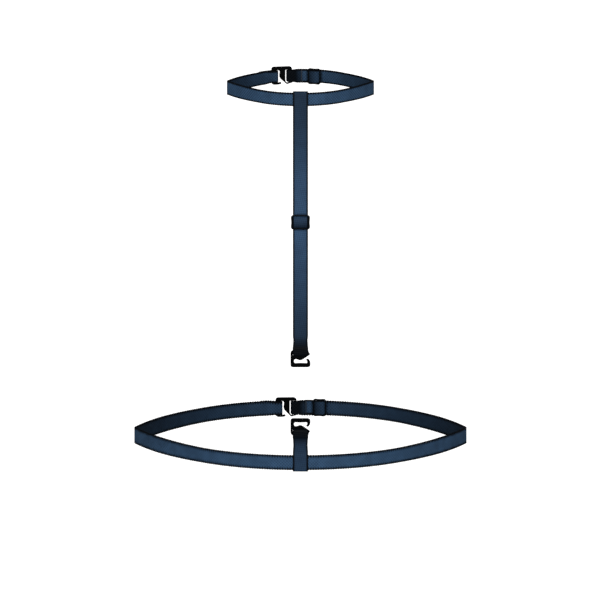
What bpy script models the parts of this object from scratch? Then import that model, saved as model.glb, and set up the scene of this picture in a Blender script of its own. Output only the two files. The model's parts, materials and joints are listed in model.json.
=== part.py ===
"""A two-part elastic body harness: a neck loop with a hanging centre strap, a waist loop with a standing tab.

Both loops close at the back with a swan hook and a figure-of-eight slider.
Metres, +Z up. The wearer stands inside the loops and faces -Y. The origin is the centre of the neck opening.
All sizes below are in millimetres.
"""

import math
from dataclasses import dataclass

import bmesh
import bpy
from mathutils import Matrix, Vector

MM = 0.001
GAP = 0.3  # clearance between pieces that touch on the real object

# Elastic
BAND_THICKNESS = 1.1
STRAP_THICKNESS = 0.9
CROSSING_THICKNESS = 0.8  # the stretched elastic over a slider's middle bar
STRAP_WIDTH = 11.0
NECK_BAND_WIDTH = 10.8
WAIST_BAND_WIDTH = 12.0
GATHER = 1.3  # how much narrower a band is where a hook gathers it
CREASE_LENGTH = 3.5  # length of the bend at each side of a loop
TAIL_LENGTH = 5.0  # from an eye's stitching end to the cut end of its tail
THREAD = 0.3
STITCH_WIDTH = 1.2
STITCH_MARGIN = 1.2

# Loops, in plan
NECK_HALF_WIDTH = 57.0
NECK_HALF_DEPTH = 45.0
NECK_ARC_RADIUS = 46.7
NECK_ARC_HALF_SPAN = 31.2
WAIST_HALF_WIDTH = 129.5
WAIST_HALF_DEPTH = 103.5
WAIST_ARC_RADIUS = 116.4
WAIST_ARC_HALF_SPAN = 78.0
WAIST_LEVEL = -289.6

# Closure, measured along the back of a loop from its middle, right positive
NECK_HOOK_RIGHT = -6.6
WAIST_HOOK_RIGHT = -3.0
NECK_HOOK_YAW = 10.0
WAIST_HOOK_YAW = 3.0
HOOK_TO_SLIDER = 18.5
EYE_OVERLAP = 11.0  # from a hook's right end to the end of the band's eye
SEAM_TO_SLIDER = 11.9
BAND_LEAVE = 4.0  # from a hook's right end to where the band leaves its arc for the fold
EYE_LEAVE = 6.5  # from a hook's left end to where the band leaves its arc for the eye
RETURN_END = 3.0  # how far the return ply runs past the middle of its slider

# Hooks
HOOK_THICKNESS = 1.4
HOOK_BAR = 1.5
BAND_HOOK_RAIL = 2.8  # the closed side, which stands above the band
BAND_HOOK_FOOT = 1.55  # the open side
STRAP_HOOK_RAIL = 1.95
HOOK_LENGTH = 16.5
STRAP_HOOK_LENGTH = 13.8
BAND_SLOT_END = 5.4
STRAP_SLOT_END = 5.2
EYE_RADIUS = 1.96
FOLD_RADIUS = 1.65
STRAP_FOLD_RADIUS = 1.6
FOLD_DROP = 1.35  # from a closure hook's strap bar to the middle of the fold round it
STRAP_FOLD_DROP = 1.4  # the same on the strap's and the tab's hooks
STRAP_PINCH = 1.1  # how far each edge of the strap draws in at the bottom of that fold

# Sliders
SLIDER_THICKNESS = 1.4
SLIDER_BAR = 1.6
SLIDER_END_BAR = 0.9
BAND_SLIDER_LENGTH = 10.3
BAND_SLIDER_SIDE = 1.0
BAND_SLIDER_SQUEEZE = 0.8  # how much narrower a band is inside its slider
CENTRE_SLIDER_LENGTH = 11.4
CENTRE_SLIDER_SIDE = 0.95
CENTRE_SPREAD = 1.8  # how much wider the strap is where it spreads over its slider's middle bar
SLIDER_NOTCH = 0.5
WAIST_SLIDER_RISE = 0.6  # how far the waist's slider rides above the middle of its band
CROSSING_END = 0.9  # how far the elastic shows past a slider's end bars before it meets the next ply

# Centre strap, heights from the middle of the neck band
CENTRE_SLIDER_LEVEL = -96.8
CENTRE_HOOK_LEVEL = -199.4
WRAP_LENGTH = 9.0
WRAP_ROUND = 0.8  # how far in from each face a strap bends over the edge of a band
WRAP_CHAMFER = 0.35
PLY_SPACE = 0.4  # between the plies of the doubled strap
PLIES_PART = 3.0  # from a hook's strap bar to where the plies begin to part
PLIES_WIDE = 0.8  # from the bar to where they are fully apart
STRAP_OVERLAP = 53.0  # how far the single ply runs down between the doubled plies
SWING_GAP = 1.4

# Tab
TAB_HOOK_LEVEL = -254.1
TAB_WRAP_RISE = 1.3

NAVY = (0.030, 0.052, 0.095, 1.0)
DARK_NAVY = (0.012, 0.018, 0.032, 1.0)
BLACK = (0.006, 0.006, 0.007, 1.0)


@dataclass(frozen=True)
class Ring:
    """A loop of elastic seen from above: a wide arc front and back, flatter arcs to a crease at each side."""

    name: str
    half_width: float
    half_depth: float
    arc_radius: float
    arc_half_span: float
    level: float
    width: float
    hook_right: float
    hook_yaw: float
    centre_y: float
    slider_rise: float

    @property
    def arc_end(self):
        """Length along the back arc from its middle to its end."""
        return self.arc_radius * math.asin(self.arc_half_span / self.arc_radius)

    @property
    def front_y(self):
        return self.centre_y - self.half_depth

    @property
    def slider_place(self):
        return self.hook_right + HOOK_TO_SLIDER

    @property
    def hook_width(self):
        """Width of the gathered band inside the hook."""
        return self.width - GATHER


@dataclass(frozen=True)
class Hook:
    """A swan hook lying flat: across is its width, along runs from the strap bar to the open end."""

    slot_width: float
    slot_end: float
    slot_corner: float
    rail: float
    foot: float
    length: float
    cross_end: float
    bulge: float
    ear: float
    end_bar: float
    window_inset: float
    arm: float
    tip: float
    tip_lean: float


def along_arc(ring, place, offset=0.0):
    """A plan point at this length along the back arc, moved outwards by offset."""
    angle = place / ring.arc_radius
    radius = ring.arc_radius + offset
    middle = ring.centre_y + ring.half_depth - ring.arc_radius
    return Vector((radius * math.sin(angle), middle + radius * math.cos(angle)))


def arc_axes(ring, place):
    """Unit plan vectors at this length along the back arc: along it to the right, and outwards."""
    angle = place / ring.arc_radius
    return Vector((math.cos(angle), -math.sin(angle))), Vector((math.sin(angle), math.cos(angle)))


def arc_places(start, end, radius):
    """Even steps from start to end, fine enough for a smooth arc."""
    steps = max(1, round(abs(end - start) / (radius * math.radians(4))))
    return [start + (end - start) * i / steps for i in range(steps + 1)]


def side_points(ring):
    """From the end of the back arc to just short of the right crease: one arc, tangent to the back arc."""
    joint = along_arc(ring, ring.arc_end)
    crease = Vector((ring.half_width, ring.centre_y))
    turned = ring.arc_end / ring.arc_radius
    normal = Vector((math.sin(turned), math.cos(turned)))
    gap = joint - crease
    radius = gap.length_squared / (2 * gap.dot(normal))
    centre = joint - radius * normal
    last = math.atan2(crease.x - centre.x, crease.y - centre.y) - CREASE_LENGTH / radius
    steps = 8
    angles = [turned + (last - turned) * i / steps for i in range(1, steps + 1)]
    return [centre + radius * Vector((math.sin(a), math.cos(a))) for a in angles]


def bend(start, corner, end, steps=6):
    """A smooth bend from start to end, pulled towards the corner."""
    found = []
    for i in range(steps + 1):
        t = i / steps
        found.append((1 - t) ** 2 * start + 2 * t * (1 - t) * corner + t**2 * end)
    return found


def round_the_front(ring):
    """From the right end of the back arc, round both creases, to its left end."""
    side = side_points(ring)
    forwards = [Vector((p.x, 2 * ring.centre_y - p.y)) for p in side]
    crease = bend(side[-1], Vector((ring.half_width, ring.centre_y)), forwards[-1])
    front = [along_arc(ring, s) for s in arc_places(ring.arc_end, 0, ring.arc_radius)]
    front = [Vector((p.x, 2 * ring.centre_y - p.y)) for p in front]
    half = side[:-1] + crease + forwards[-2::-1] + front
    return half + [Vector((-p.x, p.y)) for p in half[-2::-1]]


def hook_pivot(ring):
    """Centre of the closure hook's strap bar."""
    return along_arc(ring, ring.hook_right - HOOK_BAR / 2, -HOOK_THICKNESS / 2)


def on_hook(ring, along, out):
    """A plan point in the closure hook's frame: along its length from the strap bar, and outwards."""
    yaw = math.radians(ring.hook_yaw)
    away = Vector((-math.cos(yaw), -math.sin(yaw)))
    outwards = Vector((away.y, -away.x))
    return hook_pivot(ring) + along * away + out * outwards


def half_turn(centre, radius, facing, steps=8):
    """(along, out) points of a fold from its inner to its outer end; facing is the side it bulges to."""
    angles = [math.pi * (i / steps - 0.5) for i in range(steps + 1)]
    return [(centre + facing * radius * math.cos(a), radius * math.sin(a)) for a in angles]


def band_path(ring):
    """Plan points and half heights of a whole band, from its return ply to the tail of its eye."""
    full = ring.width / 2
    gathered = ring.hook_width / 2
    straight = HOOK_BAR + GAP
    return_offset = -(BAND_THICKNESS + GAP)
    leave = ring.hook_right + BAND_LEAVE
    rows = []
    for place in arc_places(ring.slider_place + RETURN_END, leave, ring.arc_radius):
        rows.append((along_arc(ring, place, return_offset), full))
    fold = half_turn(FOLD_DROP, FOLD_RADIUS, 1)
    fold = [(-straight, -FOLD_RADIUS)] + fold + [(-straight, FOLD_RADIUS)]
    rows += [(on_hook(ring, along, out), gathered) for along, out in fold]
    for place in arc_places(leave, ring.arc_end, ring.arc_radius):
        rows.append((along_arc(ring, place), full))
    rows += [(point, full) for point in round_the_front(ring)]
    eye_leave = ring.hook_right - HOOK_LENGTH - EYE_LEAVE
    for place in arc_places(-ring.arc_end, eye_leave, ring.arc_radius):
        rows.append((along_arc(ring, place), full))
    eye_end = EYE_OVERLAP - HOOK_BAR / 2
    centre = eye_end + EYE_RADIUS + BAND_THICKNESS / 2
    bar_end = HOOK_LENGTH - HOOK_BAR / 2 + GAP
    eye = half_turn(centre, EYE_RADIUS, -1)
    eye = [(bar_end, -EYE_RADIUS)] + eye + [(bar_end, EYE_RADIUS)]
    rows += [(on_hook(ring, along, out), gathered) for along, out in eye]
    tail_offset = BAND_THICKNESS + GAP
    for place in arc_places(eye_leave, eye_leave - TAIL_LENGTH, ring.arc_radius):
        rows.append((along_arc(ring, place, tail_offset), full))
    return rows


NECK = Ring(
    "neck", NECK_HALF_WIDTH, NECK_HALF_DEPTH, NECK_ARC_RADIUS, NECK_ARC_HALF_SPAN,
    0.0, NECK_BAND_WIDTH, NECK_HOOK_RIGHT, NECK_HOOK_YAW, 0.0, 0.0,
)
WAIST = Ring(
    "waist", WAIST_HALF_WIDTH, WAIST_HALF_DEPTH, WAIST_ARC_RADIUS, WAIST_ARC_HALF_SPAN,
    WAIST_LEVEL, WAIST_BAND_WIDTH, WAIST_HOOK_RIGHT, WAIST_HOOK_YAW, WAIST_HALF_DEPTH - NECK_HALF_DEPTH,
    WAIST_SLIDER_RISE,
)


def band_hook(ring):
    return Hook(
        slot_width=ring.hook_width + 2 * GAP, slot_end=BAND_SLOT_END, slot_corner=3.8,
        rail=BAND_HOOK_RAIL, foot=BAND_HOOK_FOOT, length=HOOK_LENGTH, cross_end=9.9, bulge=10.3, ear=4.2,
        end_bar=2.4, window_inset=-0.2, arm=0.2, tip=8.8, tip_lean=0.3,
    )


STRAP_HOOK = Hook(
    slot_width=STRAP_WIDTH + 2 * GAP, slot_end=STRAP_SLOT_END, slot_corner=2.6,
    rail=STRAP_HOOK_RAIL, foot=STRAP_HOOK_RAIL, length=STRAP_HOOK_LENGTH, cross_end=7.3, bulge=8.4, ear=3.5,
    end_bar=3.2, window_inset=0.5, arm=0.5, tip=7.2, tip_lean=0.7,
)


def rounded(corners, steps=4):
    """A closed outline from (x, y, cut) corners: each corner is cut back by that length and bent round."""
    found = []
    for i, (x, y, cut) in enumerate(corners):
        corner = Vector((x, y))
        before = Vector(corners[i - 1][:2]) - corner
        after = Vector(corners[(i + 1) % len(corners)][:2]) - corner
        start = corner + before.normalized() * min(cut, 0.48 * before.length)
        end = corner + after.normalized() * min(cut, 0.48 * after.length)
        found += bend(start, corner, end, steps)
    return found


def hook_outlines(hook):
    """The outer edge of a swan hook, and its strap slot."""
    inner = hook.slot_width / 2
    closed = -inner - hook.rail
    mouth = inner + hook.foot
    window = hook.length - hook.end_bar
    side = hook.window_inset - inner
    arm = inner - hook.arm
    outer = [
        (closed, 0, 1.6),
        (inner + 0.5, 0, 0.9),
        (inner + 0.6, 1.8, 0.7),
        (mouth, hook.ear, 1.1),
        (1.4, hook.bulge - 0.5, 1.4),
        (-0.6, hook.bulge, 0.9),
        (-2.6, hook.cross_end + 0.1, 1.2),
        (side + 0.9, hook.cross_end, 0.7),
        (side, (hook.cross_end + window) / 2, 1.0),
        (side + 0.8, window, 0.6),
        (-0.2, window - 0.3, 2.5),
        (arm, window, 0.9),
        (arm, hook.tip + 1.7, 0.6),
        (arm - hook.tip_lean, hook.tip + 1.0, 0.4),
        (arm - hook.tip_lean, hook.tip, 0.7),
        (arm + 1.5 - hook.tip_lean, hook.tip - 0.3, 0.8),
        (mouth, hook.tip + 2.1, 1.4),
        (mouth, hook.length, 2.6),
        (closed, hook.length, 2.1),
    ]
    slot = [
        (-inner, HOOK_BAR, 0.4),
        (inner, HOOK_BAR, 0.4),
        (inner, hook.ear + 0.2, 0.3),
        (hook.slot_corner, hook.slot_end, 0.6),
        (-inner, hook.slot_end, 0.6),
    ]
    return [rounded(outer), rounded(slot, 3)]


def slider_outlines(length, width, side):
    """A figure-of-eight slider's edge, with a shallow notch at mid length, and its two slots."""
    half = length / 2
    wide = width / 2
    outer = [
        (-half, -wide, 2.2), (0, -wide + SLIDER_NOTCH, 1.2), (half, -wide, 2.2),
        (half, wide, 2.2), (0, wide - SLIDER_NOTCH, 1.2), (-half, wide, 2.2),
    ]
    inner = wide - side
    near = SLIDER_BAR / 2
    far = half - SLIDER_END_BAR
    slots = []
    for sign in (-1, 1):
        corners = [(sign * near, -inner), (sign * far, -inner), (sign * far, inner), (sign * near, inner)]
        slots.append(rounded([(x, y, 0.5) for x, y in corners], 3))
    return [rounded(outer)] + slots


def crossing(length, depth):
    """(along, out) points of the elastic that passes behind a slider's end bars and over its middle bar."""
    low = SLIDER_THICKNESS / 2 + depth + CROSSING_THICKNESS / 2
    high = -(SLIDER_THICKNESS / 2 + GAP + CROSSING_THICKNESS / 2)
    half = [(-length / 2 - CROSSING_END, low)]
    half += [(-3.4, low - 0.1), (-2.9, low - 0.5), (-1.6, high + 0.4), (-0.9, high)]
    return half + [(-x, y) for x, y in reversed(half)]


# Scene


def clear_scene():
    for obj in list(bpy.data.objects):
        bpy.data.objects.remove(obj, do_unlink=True)


def add_material(name, colour, roughness):
    made = bpy.data.materials.new(name)
    made.use_nodes = True
    shader = made.node_tree.nodes["Principled BSDF"]
    shader.inputs["Base Color"].default_value = colour
    shader.inputs["Roughness"].default_value = roughness
    shader.inputs["Metallic"].default_value = 0.0
    return made


def add_object(name, data, matrix, colour, roughness):
    obj = bpy.data.objects.new(name, data)
    obj.matrix_world = matrix
    data.materials.append(add_material(name, colour, roughness))
    bpy.data.collections["body_harness"].objects.link(obj)
    return obj


def frame_matrix(origin, x_axis, y_axis):
    """A placement from an origin in millimetres and two unit axes."""
    x_axis = Vector(x_axis).normalized()
    y_axis = Vector(y_axis).normalized()
    z_axis = x_axis.cross(y_axis)
    turned = Matrix((x_axis, y_axis, z_axis)).transposed().to_4x4()
    return Matrix.Translation(Vector(origin) * MM) @ turned


def add_ribbon(name, rows, origin, upright, thickness, colour=NAVY, level=0.0):
    """Elastic on edge: an open surface from (point, half width) rows, made solid.

    An upright ribbon has plan points and stands on its edge.
    The other kind has (y, z) points, its width along X.
    """
    mesh = bpy.data.meshes.new(name)
    form = bmesh.new()
    origin = Vector(origin)
    lower = []
    for point, _ in rows:
        place = Vector((point[0], point[1], level)) if upright else Vector((0, point[0], point[1]))
        lower.append(form.verts.new((place - origin) * MM))
    edges = [form.edges.new(pair) for pair in zip(lower, lower[1:])]
    made = bmesh.ops.extrude_edge_only(form, edges=edges)["geom"]
    upper = [v for v in made if isinstance(v, bmesh.types.BMVert)]
    axis = Vector((0, 0, 1)) if upright else Vector((1, 0, 0))
    halves = {tuple(round(c, 7) for c in v.co): half for v, (_, half) in zip(lower, rows)}
    for vert in lower + upper:
        half = halves[tuple(round(c, 7) for c in vert.co)]
        vert.co += axis * half * MM * (1 if vert in upper else -1)
    form.to_mesh(mesh)
    form.free()
    obj = add_object(name, mesh, Matrix.Translation(origin * MM), colour, 0.8)
    shell = obj.modifiers.new("thickness", "SOLIDIFY")
    shell.thickness = thickness * MM
    shell.offset = 0.0
    shell.use_even_offset = True
    return obj


def add_plate(name, outlines, matrix, thickness, colour=BLACK):
    """A flat moulding from an outline and its holes, half its thickness to each side of its plane."""
    data = bpy.data.curves.new(name, "CURVE")
    data.dimensions = "2D"
    data.fill_mode = "BOTH"
    data.extrude = thickness / 2 * MM
    for outline in outlines:
        spline = data.splines.new("POLY")
        spline.points.add(len(outline) - 1)
        for point, place in zip(spline.points, outline):
            point.co = (place[0] * MM, place[1] * MM, 0, 1)
        spline.use_cyclic_u = True
    return add_object(name, data, matrix, colour, 0.3)


def add_stitching(name, matrix, length):
    """A row of thread as one flat bar, its length along local Y and its thickness along local Z."""
    mesh = bpy.data.meshes.new(name)
    form = bmesh.new()
    bmesh.ops.create_cube(form, size=MM)
    bmesh.ops.scale(form, vec=(STITCH_WIDTH, length, THREAD), verts=form.verts)
    form.to_mesh(mesh)
    form.free()
    return add_object(name, mesh, matrix, DARK_NAVY, 0.7)


def back_frame(ring, place, offset, rise=0.0):
    """A placement on the back arc: X along the band, Y up, Z towards the wearer."""
    point = along_arc(ring, place, offset)
    tangent, _ = arc_axes(ring, place)
    return frame_matrix((point.x, point.y, ring.level + rise), (*tangent, 0), (0, 0, 1))


def add_band(ring):
    rows = band_path(ring)
    middle = (0, ring.centre_y, ring.level)
    add_ribbon(f"{ring.name}_band", rows, middle, True, BAND_THICKNESS, level=ring.level)
    seat = BAND_THICKNESS * 1.5 + GAP * 2 + THREAD / 2
    place = ring.hook_right - HOOK_LENGTH - EYE_LEAVE - STITCH_WIDTH
    add_stitching(f"{ring.name}_eye_stitching", back_frame(ring, place, seat), ring.width - 2 * STITCH_MARGIN)


def add_band_hook(ring):
    yaw = math.radians(ring.hook_yaw)
    pivot = hook_pivot(ring)
    matrix = frame_matrix((pivot.x, pivot.y, ring.level), (0, 0, -1), (-math.cos(yaw), -math.sin(yaw), 0))
    matrix = matrix @ Matrix.Translation((0, -HOOK_BAR / 2 * MM, 0))
    add_plate(f"{ring.name}_hook", hook_outlines(band_hook(ring)), matrix, HOOK_THICKNESS)


def add_band_slider(ring):
    """The slider, the elastic over its middle bar, and the folded end of the band with its seam."""
    name = ring.name
    place = ring.slider_place
    ply = BAND_THICKNESS + GAP
    end_offset = -2 * ply
    crossing_offset = -(ply + BAND_THICKNESS / 2 + GAP * 2 + CROSSING_THICKNESS / 2)
    plate_offset = crossing_offset - SLIDER_THICKNESS / 2 - GAP - CROSSING_THICKNESS / 2
    squeezed = ring.width - BAND_SLIDER_SQUEEZE
    width = squeezed + 2 * (GAP + BAND_SLIDER_SIDE)
    outlines = slider_outlines(BAND_SLIDER_LENGTH, width, BAND_SLIDER_SIDE)
    matrix = back_frame(ring, place, plate_offset, ring.slider_rise)
    add_plate(f"{name}_slider", outlines, matrix, SLIDER_THICKNESS)

    rows = []
    tangent, outwards = arc_axes(ring, place)
    seat = along_arc(ring, place, plate_offset)
    for along, out in crossing(BAND_SLIDER_LENGTH, GAP):
        rows.append((seat + along * tangent + out * outwards, squeezed / 2))
    middle = (0, ring.centre_y, ring.level)
    level = ring.level + ring.slider_rise
    add_ribbon(f"{name}_slider_crossing", rows, middle, True, CROSSING_THICKNESS, level=level)

    start = place - SEAM_TO_SLIDER
    reach = BAND_SLIDER_LENGTH / 2 + CROSSING_END + 2 * GAP
    end = place - reach * ring.arc_radius / (ring.arc_radius + end_offset)
    rows = [(along_arc(ring, s, end_offset), ring.width / 2) for s in arc_places(start, end, ring.arc_radius)]
    add_ribbon(f"{name}_end_ply", rows, middle, True, BAND_THICKNESS, level=level)
    seat = end_offset - BAND_THICKNESS / 2 - GAP - THREAD / 2
    matrix = back_frame(ring, start + STITCH_WIDTH, seat, ring.slider_rise)
    add_stitching(f"{name}_end_seam", matrix, ring.width - 2 * STITCH_MARGIN)


def wrap_rear(ring):
    """Distance from a band's middle back to a strap's rear ply, clear of the band's curve."""
    sagitta = (STRAP_WIDTH / 2) ** 2 / (2 * ring.arc_radius)
    return BAND_THICKNESS / 2 + sagitta + GAP + STRAP_THICKNESS / 2


def wrap_front():
    return BAND_THICKNESS / 2 + GAP + STRAP_THICKNESS / 2


def over_edge(rear, front, edge, up):
    """(y, z) points of a strap that bends over a band's edge from its rear to its front; up is 1 or -1."""
    side = edge - up * 2 * GAP
    shoulder = edge + up * (STRAP_THICKNESS / 2 - 2 * WRAP_CHAMFER / 3)
    cap = edge + up * STRAP_THICKNESS / 2
    half = [(rear, side), (rear - WRAP_CHAMFER, shoulder), (rear - WRAP_ROUND, cap)]
    return half + [(front + WRAP_ROUND, cap), (front + WRAP_CHAMFER, shoulder), (front, side)]


def full_width(points):
    return [(point, STRAP_WIDTH / 2) for point in points]


def add_strap(name, rows, thickness=STRAP_THICKNESS, origin=None):
    return add_ribbon(name, rows, origin or (0, *rows[0][0]), False, thickness)


def strap_plane():
    """Where the centre strap hangs, in front of the neck band."""
    return NECK.front_y - wrap_front()


def add_neck_wrap():
    """The centre strap's end over the top of the neck band, sewn below it."""
    front = strap_plane()
    rear = NECK.front_y + wrap_rear(NECK)
    top = NECK.width / 2 + GAP
    ends = front + STRAP_THICKNESS + GAP
    bottom = -WRAP_LENGTH
    points = [(ends, bottom), (ends, bottom + STITCH_WIDTH), (rear, -top - GAP)]
    points += over_edge(rear, front, top, 1) + [(front, bottom)]
    add_strap("neck_strap_wrap", full_width(points))
    seat = ends + STRAP_THICKNESS / 2 + GAP + THREAD / 2
    matrix = frame_matrix((0, seat, bottom + STITCH_WIDTH / 2), (0, 0, 1), (1, 0, 0))
    add_stitching("neck_wrap_stitching", matrix, STRAP_WIDTH - 2 * STITCH_MARGIN)


def add_centre_strap():
    """The single ply, from its swing below the neck band down between the doubled plies."""
    top = -WRAP_LENGTH - SWING_GAP
    plane = strap_plane()
    pivot = (0, plane, -WRAP_LENGTH - SWING_GAP / 2)
    bottom = CENTRE_SLIDER_LEVEL - STRAP_OVERLAP
    levels = [top + (bottom - top) * i / 6 for i in range(7)]
    add_strap("centre_strap", full_width([(plane, z) for z in levels]), origin=pivot)


def add_centre_slider():
    plane = strap_plane()
    ply = STRAP_THICKNESS + PLY_SPACE
    low = ply + STRAP_THICKNESS / 2 + GAP + CROSSING_THICKNESS / 2
    plate = plane - low - SLIDER_THICKNESS / 2 - GAP - CROSSING_THICKNESS / 2
    spread = STRAP_WIDTH + CENTRE_SPREAD
    width = spread + 2 * (GAP + CENTRE_SLIDER_SIDE)
    matrix = frame_matrix((0, plate, CENTRE_SLIDER_LEVEL), (0, 0, -1), (1, 0, 0))
    outlines = slider_outlines(CENTRE_SLIDER_LENGTH, width, CENTRE_SLIDER_SIDE)
    add_plate("centre_slider", outlines, matrix, SLIDER_THICKNESS)
    rows = crossing(CENTRE_SLIDER_LENGTH, GAP)
    points = [((plate + out, CENTRE_SLIDER_LEVEL + along), spread / 2) for along, out in rows]
    add_strap("centre_slider_crossing", points, thickness=CROSSING_THICKNESS)


def hanging_fold(plane, level, down, wide, narrow):
    """((y, z), half width) rows of a fold round a strap bar: wide there, narrow where its plies meet.

    level is the hook's strap-bar end.
    down is -1 where the hook hangs below the strap, 1 where it stands above.
    """
    centre = level + down * (HOOK_BAR / 2 + STRAP_FOLD_DROP)
    turn = []
    for along, out in half_turn(0, wide, 1):
        half = STRAP_WIDTH / 2 - STRAP_PINCH * along / wide
        turn.append(((plane - out, centre + down * along), half))
    part, apart = level - down * PLIES_PART, level - down * PLIES_WIDE
    start = [(plane + narrow[0], part), (plane + wide, apart)]
    end = [(plane - wide, apart), (plane - narrow[1], part)]
    return full_width(start) + turn + full_width(end)


def add_centre_loop():
    """The doubled lower part: back ply down, round the hook's bar, front ply up to the slider."""
    plane = strap_plane()
    ply = STRAP_THICKNESS + PLY_SPACE
    top = CENTRE_SLIDER_LEVEL - CENTRE_SLIDER_LENGTH / 2 - CROSSING_END - GAP
    fold = hanging_fold(plane, CENTRE_HOOK_LEVEL, -1, STRAP_FOLD_RADIUS, (ply, ply))
    middle = [top + (CENTRE_HOOK_LEVEL - top) * i / 4 for i in range(4)]
    down = full_width([(plane + ply, z) for z in middle])
    up = full_width([(plane - ply, z) for z in reversed(middle)])
    add_strap("centre_loop", down + fold + up)
    seat = plane + ply + STRAP_THICKNESS / 2 + GAP + THREAD / 2
    matrix = frame_matrix((0, seat, top - STITCH_WIDTH), (0, 0, 1), (1, 0, 0))
    add_stitching("centre_loop_seam", matrix, STRAP_WIDTH - 2 * STITCH_MARGIN)


def add_centre_hook():
    bar = CENTRE_HOOK_LEVEL - HOOK_BAR / 2
    matrix = frame_matrix((0, strap_plane(), bar), (1, 0, 0), (0, 0, -1))
    matrix = matrix @ Matrix.Translation((0, -HOOK_BAR / 2 * MM, 0))
    add_plate("centre_hook", hook_outlines(STRAP_HOOK), matrix, HOOK_THICKNESS)


def tab_wrap_top():
    return WAIST.level + WAIST.width / 2 + TAB_WRAP_RISE


def add_tab_wrap():
    """The tab's end under the waist band, both plies rising just past its top edge."""
    front = WAIST.front_y - wrap_front()
    rear = WAIST.front_y + wrap_rear(WAIST)
    low = WAIST.level - WAIST.width / 2 - GAP
    top = tab_wrap_top()
    points = [(rear, top)] + over_edge(rear, front, low, -1) + [(front, top)]
    add_strap("tab_wrap", full_width(points))
    seat = rear + STRAP_THICKNESS / 2 + GAP + THREAD / 2
    matrix = frame_matrix((0, seat, top - STITCH_WIDTH / 2), (0, 0, 1), (1, 0, 0))
    add_stitching("tab_wrap_stitching", matrix, STRAP_WIDTH - 2 * STITCH_MARGIN)


def add_tab():
    """The standing part of the tab: up from its swing, round the hook's bar and back down."""
    plane = WAIST.front_y
    start = tab_wrap_top() + SWING_GAP
    level = TAB_HOOK_LEVEL - STRAP_HOOK_LENGTH
    narrow = (wrap_rear(WAIST), wrap_front())
    fold = hanging_fold(plane, level, 1, STRAP_FOLD_RADIUS, narrow)
    rows = full_width([(plane + narrow[0], start)]) + fold + full_width([(plane - narrow[1], start)])
    add_strap("tab_strap", rows, origin=(0, plane, start - SWING_GAP / 2))
    matrix = frame_matrix((0, plane, level + HOOK_BAR / 2), (1, 0, 0), (0, 0, 1))
    matrix = matrix @ Matrix.Translation((0, -HOOK_BAR / 2 * MM, 0))
    add_plate("tab_hook", hook_outlines(STRAP_HOOK), matrix, HOOK_THICKNESS)


clear_scene()
bpy.context.scene.collection.children.link(bpy.data.collections.new("body_harness"))
for ring in (NECK, WAIST):
    add_band(ring)
    add_band_hook(ring)
    add_band_slider(ring)
add_neck_wrap()
add_centre_strap()
add_centre_slider()
add_centre_loop()
add_centre_hook()
add_tab_wrap()
add_tab()
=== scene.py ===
"""The looks of a two-part elastic body harness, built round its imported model. Lengths are in millimetres until a mesh
is made, and -Y is the front."""

import json
import math

import bmesh
import bpy
import numpy as np
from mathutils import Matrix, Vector


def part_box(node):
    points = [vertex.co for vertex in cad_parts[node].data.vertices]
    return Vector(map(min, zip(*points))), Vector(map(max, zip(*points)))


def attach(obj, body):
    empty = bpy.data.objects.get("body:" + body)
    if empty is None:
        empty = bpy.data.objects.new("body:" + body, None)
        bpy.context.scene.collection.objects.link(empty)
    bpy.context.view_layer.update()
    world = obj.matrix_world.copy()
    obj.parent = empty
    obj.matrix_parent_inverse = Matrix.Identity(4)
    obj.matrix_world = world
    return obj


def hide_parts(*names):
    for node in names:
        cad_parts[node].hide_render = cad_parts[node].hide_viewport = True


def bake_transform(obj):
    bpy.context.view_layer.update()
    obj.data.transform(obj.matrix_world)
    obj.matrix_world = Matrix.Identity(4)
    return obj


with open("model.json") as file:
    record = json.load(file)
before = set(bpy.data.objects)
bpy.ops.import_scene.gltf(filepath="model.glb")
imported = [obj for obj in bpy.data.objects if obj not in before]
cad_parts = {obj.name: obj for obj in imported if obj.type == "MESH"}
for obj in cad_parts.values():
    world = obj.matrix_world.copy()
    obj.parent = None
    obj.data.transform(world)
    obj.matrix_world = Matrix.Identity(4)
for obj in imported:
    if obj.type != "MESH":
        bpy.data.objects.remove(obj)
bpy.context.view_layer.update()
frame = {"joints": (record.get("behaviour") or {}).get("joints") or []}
joints = {joint["name"]: joint for joint in frame["joints"]}


# ---- Navy satin elastic -------------------------------------------------------------------------------------------
# Nylon and elastane ribbon, warp knitted with a satin face and a brushed back that lies against the skin.
# Tight edge cords darken both edges. Painted shade darkens it further: in the folds round the hooks, on the bands'
# inside towards the side creases, over the sliders and down the straps, which a painted sheen leaves palest round the
# slider.

MM = 0.001
BAND_THICKNESS = 1.1
STRAP_THICKNESS = 0.9
PLY_GAP = 0.3
STEP = 0.5  # distance between rows of the surface along a ribbon
FACE_POINTS = 25  # points across each face
EDGE_POINTS = 5  # points round each edge
CORD_RISE = 0.10  # how far the edge cords stand out
CORD_WIDTH = 0.6
CORD_SHADE = 1.55  # how far in from each edge the dark cord shows
PICOT_PITCH = 2.0
BACK_DULL = 0.45  # how much duller the brushed back is


def linear(hex_colour):
    """An sRGB hex colour as linear red, green, blue and alpha."""
    found = [int(hex_colour[i : i + 2], 16) / 255 for i in (1, 3, 5)]
    return (*[c / 12.92 if c <= 0.04045 else ((c + 0.055) / 1.055) ** 2.4 for c in found], 1.0)


def add_node(tree, kind, sockets=None, **settings):
    """Adds a node, sets its settings, and gives each named input a value or a link."""
    made = tree.nodes.new(kind)
    for key, value in settings.items():
        setattr(made, key, value)
    for key, value in (sockets or {}).items():
        if isinstance(value, bpy.types.NodeSocket):
            tree.links.new(value, made.inputs[key])
        else:
            made.inputs[key].default_value = value
    return made


def new_material(name):
    """An empty material with its output node: returns (material, tree, output)."""
    made = bpy.data.materials.new(name)
    made.use_nodes = True
    made.node_tree.nodes.clear()
    return made, made.node_tree, made.node_tree.nodes.new("ShaderNodeOutputMaterial")


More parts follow.
